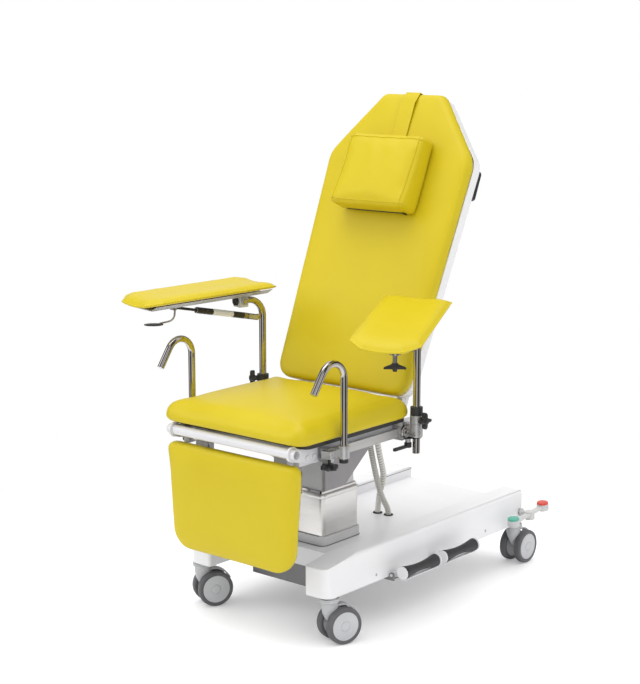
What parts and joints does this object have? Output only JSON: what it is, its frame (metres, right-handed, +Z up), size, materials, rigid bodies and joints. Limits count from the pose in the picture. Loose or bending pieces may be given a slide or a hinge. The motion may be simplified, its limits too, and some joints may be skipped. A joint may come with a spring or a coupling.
{
  "type": "phlebotomy chair",
  "caption": "Phlebotomy chair with yellow cushions, a lifting column, a wheeled white chassis, two adjustable arm supports, grab hooks and foot controls.",
  "frame": {"origin": "on the floor, under the middle of the chair's overall box", "axes": "+Z up; -Y is the way the sitter faces; +X is the sitter's left"},
  "size_m": [0.9221, 1.1022, 1.4077],
  "materials": {
    "cover_white": "gloss",
    "frame_light": "satin",
    "base_grey": "satin",
    "skirt_grey": "matte",
    "column_steel": "brushed",
    "stage_chrome": "polished",
    "stage_light": "satin",
    "bracket_grey": "satin",
    "caster_grey": "matte",
    "tyre_grey": "matte",
    "upholstery": "satin",
    "board_black": "matte",
    "knob_black": "matte",
    "tube_chrome": "polished",
    "clamp_steel": "polished",
    "tray_grey": "satin",
    "hose_black": "matte",
    "pedal_black": "matte",
    "cast_grey": "satin"
  },
  "bodies": {
    "chassis": {"chassis_cover": "cover_white", "base_frame": "base_grey", "column_skirt": "skirt_grey", "outer_column": "column_steel", "conduits": "hose_black"},
    "column_middle": {"middle_column": "stage_chrome"},
    "seat": {"inner_column": "stage_light", "top_bracket": "bracket_grey", "seat_frame": "frame_light", "end_plates": "frame_light", "side_rails": "clamp_steel", "seat_board": "board_black", "seat_cushion": "upholstery"},
    "back": {"back_frame": "frame_light", "back_shell": "cover_white", "back_cushion": "upholstery", "push_handle": "knob_black", "pillow_strap": "upholstery"},
    "pillow": {"head_pillow": "upholstery"},
    "leg_rest": {"leg_frame": "frame_light", "leg_board": "board_black", "leg_cushion": "upholstery"},
    "fork_fl": {"caster_fork_fl": "caster_grey"},
    "wheels_fl": {"caster_wheels_fl": "tyre_grey"},
    "fork_fr": {"caster_fork_fr": "caster_grey"},
    "wheels_fr": {"caster_wheels_fr": "tyre_grey"},
    "fork_rl": {"caster_fork_rl": "caster_grey"},
    "wheels_rl": {"caster_wheels_rl": "tyre_grey"},
    "fork_rr": {"caster_fork_rr": "caster_grey"},
    "wheels_rr": {"caster_wheels_rr": "tyre_grey"},
    "arm_clamp_l": {"arm_clamp_left": "clamp_steel"},
    "arm_collar_l": {"arm_collar_left": "knob_black"},
    "arm_knob_l": {"arm_knob_left": "knob_black"},
    "arm_post_l": {"arm_post_left": "tube_chrome"},
    "arm_tray_l": {"arm_tray_left": "tray_grey", "arm_cushion_left": "upholstery"},
    "gas_tube": {"gas_spring_tube": "knob_black"},
    "gas_rod": {"gas_spring_rod": "tube_chrome"},
    "release": {"release_lever": "knob_black"},
    "arm_clamp_r": {"arm_clamp_right": "clamp_steel"},
    "clamp_lever_r": {"clamp_lever_right": "knob_black"},
    "arm_collar_r": {"arm_collar_right": "knob_black"},
    "arm_knob_r": {"arm_knob_right": "knob_black"},
    "arm_post_r": {"arm_post_right": "tube_chrome"},
    "arm_tray_r": {"arm_tray_right": "board_black", "arm_cushion_right": "upholstery"},
    "wing": {"wing_knob": "knob_black"},
    "hook_clamp_l": {"hook_clamp_left": "clamp_steel"},
    "hook_knob_l": {"hook_knob_left": "knob_black"},
    "hook_l": {"grab_hook_left": "tube_chrome"},
    "hook_clamp_r": {"hook_clamp_right": "clamp_steel"},
    "hook_knob_r": {"hook_knob_right": "knob_black"},
    "hook_r": {"grab_hook_right": "tube_chrome"},
    "pedal_front": {"pedal_front": "pedal_black"},
    "pedal_rear": {"pedal_rear": "pedal_black"},
    "lock": {"lock_rocker": "cast_grey"}
  },
  "joints": [
    {"name": "seat_lift", "type": "slide", "parent": "chassis", "child": "seat", "axis": [0, 0, 1], "range_m": [0, 0.3], "deforming": ["conduits"]},
    {"name": "middle_stage_lift", "type": "slide", "parent": "chassis", "child": "column_middle", "axis": [0, 0, 1], "range_m": [0, 0.15]},
    {"name": "caster_swivel_fl", "type": "hinge", "parent": "chassis", "child": "fork_fl", "pos_m": [-0.2452, -0.4074, 0.12], "axis": [0, 0, 1], "continuous": true},
    {"name": "caster_roll_fl", "type": "hinge", "parent": "fork_fl", "child": "wheels_fl", "pos_m": [-0.23112, -0.38091, 0.05], "axis": [0.8829, -0.4695, 0], "continuous": true},
    {"name": "caster_swivel_fr", "type": "hinge", "parent": "chassis", "child": "fork_fr", "pos_m": [0.2168, -0.4074, 0.12], "axis": [0, 0, 1], "continuous": true},
    {"name": "caster_roll_fr", "type": "hinge", "parent": "fork_fr", "child": "wheels_fr", "pos_m": [0.22706, -0.37921, 0.05], "axis": [0.9397, -0.342, 0], "continuous": true},
    {"name": "caster_swivel_rl", "type": "hinge", "parent": "chassis", "child": "fork_rl", "pos_m": [-0.2452, 0.4586, 0.12], "axis": [0, 0, 1], "continuous": true},
    {"name": "caster_roll_rl", "type": "hinge", "parent": "fork_rl", "child": "wheels_rl", "pos_m": [-0.24258, 0.48849, 0.05], "axis": [0.9962, -0.0872, 0], "continuous": true},
    {"name": "caster_swivel_rr", "type": "hinge", "parent": "chassis", "child": "fork_rr", "pos_m": [0.2168, 0.4586, 0.12], "axis": [0, 0, 1], "continuous": true},
    {"name": "caster_roll_rr", "type": "hinge", "parent": "fork_rr", "child": "wheels_rr", "pos_m": [0.2168, 0.4886, 0.05], "axis": [1, 0, 0], "continuous": true},
    {"name": "back_recline", "type": "hinge", "parent": "seat", "child": "back", "pos_m": [-0.0142, -0.0434, 0.513], "axis": [-1, 0, 0], "range_deg": [0, 66]},
    {"name": "pillow_slide", "type": "slide", "parent": "back", "child": "pillow", "axis": [0, 0.3955, 0.9184], "range_m": [-0.04, 0.05]},
    {"name": "leg_rest_raise", "type": "hinge", "parent": "seat", "child": "leg_rest", "pos_m": [-0.0142, -0.5291, 0.5309], "axis": [-1, 0, 0], "range_deg": [0, 90]},
    {"name": "left_arm_slide", "type": "slide", "parent": "seat", "child": "arm_clamp_l", "axis": [0, 1, 0], "range_m": [-0.06, 0]},
    {"name": "left_arm_swivel", "type": "hinge", "parent": "arm_clamp_l", "child": "arm_collar_l", "pos_m": [-0.2842, -0.1064, 0.59], "axis": [0, 0, 1], "range_deg": [-70, 25]},
    {"name": "left_arm_height", "type": "slide", "parent": "arm_collar_l", "child": "arm_post_l", "axis": [0, 0, 1], "range_m": [-0.015, 0.06]},
    {"name": "left_arm_knob", "type": "hinge", "parent": "arm_collar_l", "child": "arm_knob_l", "pos_m": [-0.30308, -0.12971, 0.595], "axis": [-0.6293, -0.7771, 0], "range_deg": [-180, 180]},
    {"name": "left_tray_tilt", "type": "hinge", "parent": "arm_post_l", "child": "arm_tray_l", "pos_m": [-0.3003, -0.17965, 0.828], "axis": [-0.9767, 0.2147, 0], "range_deg": [-10, 12]},
    {"name": "gas_spring_swing", "type": "hinge", "parent": "arm_post_l", "child": "gas_tube", "pos_m": [-0.28957, -0.13082, 0.776], "axis": [-0.9767, 0.2147, 0], "range_deg": [-8.5, 10]},
    {"name": "gas_spring_stroke", "type": "slide", "parent": "gas_tube", "child": "gas_rod", "axis": [-0.2105, -0.9574, 0.1975], "range_m": [-0.009, 0.01]},
    {"name": "release_pull", "type": "hinge", "parent": "arm_tray_l", "child": "release", "pos_m": [-0.34926, -0.40233, 0.832], "axis": [-0.9767, 0.2147, 0], "range_deg": [0, 12], "stiffness_Nm_per_rad": 2, "springref_deg": -17.19},
    {"name": "right_arm_slide", "type": "slide", "parent": "seat", "child": "arm_clamp_r", "axis": [0, 1, 0], "range_m": [-0.06, 0]},
    {"name": "right_clamp_lever", "type": "hinge", "parent": "arm_clamp_r", "child": "clamp_lever_r", "pos_m": [0.2408, -0.1044, 0.481], "axis": [0, 0, 1], "range_deg": [-30, 90]},
    {"name": "right_arm_swivel", "type": "hinge", "parent": "arm_clamp_r", "child": "arm_collar_r", "pos_m": [0.2558, -0.0874, 0.56], "axis": [0, 0, 1], "range_deg": [0, 30]},
    {"name": "right_arm_height", "type": "slide", "parent": "arm_collar_r", "child": "arm_post_r", "axis": [0, 0, 1], "range_m": [-0.015, 0.06]},
    {"name": "right_arm_knob", "type": "hinge", "parent": "arm_collar_r", "child": "arm_knob_r", "pos_m": [0.28569, -0.09001, 0.551], "axis": [0.9962, -0.0872, 0], "range_deg": [-180, 180]},
    {"name": "right_tray_swivel", "type": "hinge", "parent": "arm_post_r", "child": "arm_tray_r", "pos_m": [0.2608, -0.1914, 0.8], "axis": [0, 0, 1], "range_deg": [-45, 0]},
    {"name": "wing_knob_turn", "type": "hinge", "parent": "arm_tray_r", "child": "wing", "pos_m": [0.2608, -0.1914, 0.714], "axis": [0, 0, 1], "range_deg": [-180, 180]},
    {"name": "left_hook_slide", "type": "slide", "parent": "seat", "child": "hook_clamp_l", "axis": [0, 1, 0], "range_m": [0, 0.08]},
    {"name": "left_hook_knob", "type": "hinge", "parent": "hook_clamp_l", "child": "hook_knob_l", "pos_m": [-0.2592, -0.4294, 0.484], "axis": [0, 0, 1], "range_deg": [-180, 180]},
    {"name": "left_hook_swivel", "type": "hinge", "parent": "hook_clamp_l", "child": "hook_l", "pos_m": [-0.2822, -0.3994, 0.52], "axis": [0, 0, 1], "range_deg": [-90, 90]},
    {"name": "right_hook_slide", "type": "slide", "parent": "seat", "child": "hook_clamp_r", "axis": [0, 1, 0], "range_m": [0, 0.08]},
    {"name": "right_hook_knob", "type": "hinge", "parent": "hook_clamp_r", "child": "hook_knob_r", "pos_m": [0.2308, -0.4244, 0.484], "axis": [0, 0, 1], "range_deg": [-180, 180]},
    {"name": "right_hook_swivel", "type": "hinge", "parent": "hook_clamp_r", "child": "hook_r", "pos_m": [0.2538, -0.3944, 0.52], "axis": [0, 0, 1], "range_deg": [-90, 90]},
    {"name": "pedal_front_press", "type": "hinge", "parent": "chassis", "child": "pedal_front", "pos_m": [0.2498, -0.1624, 0.134], "axis": [0, 1, 0], "range_deg": [-8, 8], "stiffness_Nm_per_rad": 25},
    {"name": "pedal_rear_press", "type": "hinge", "parent": "chassis", "child": "pedal_rear", "pos_m": [0.2498, 0.0196, 0.134], "axis": [0, 1, 0], "range_deg": [-8, 8], "stiffness_Nm_per_rad": 25},
    {"name": "lock_tilt", "type": "hinge", "parent": "chassis", "child": "lock", "pos_m": [0.2558, 0.4636, 0.162], "axis": [1, 0, 0], "range_deg": [-20, 10]}
  ],
  "couplings": [
    {"joint": "middle_stage_lift", "follows": "seat_lift", "ratio": 0.5},
    {"joint": "gas_spring_swing", "follows": "left_tray_tilt", "ratio": 0.79},
    {"joint": "gas_spring_stroke", "follows": "left_tray_tilt", "m_per_rad": 0.0403}
  ]
}
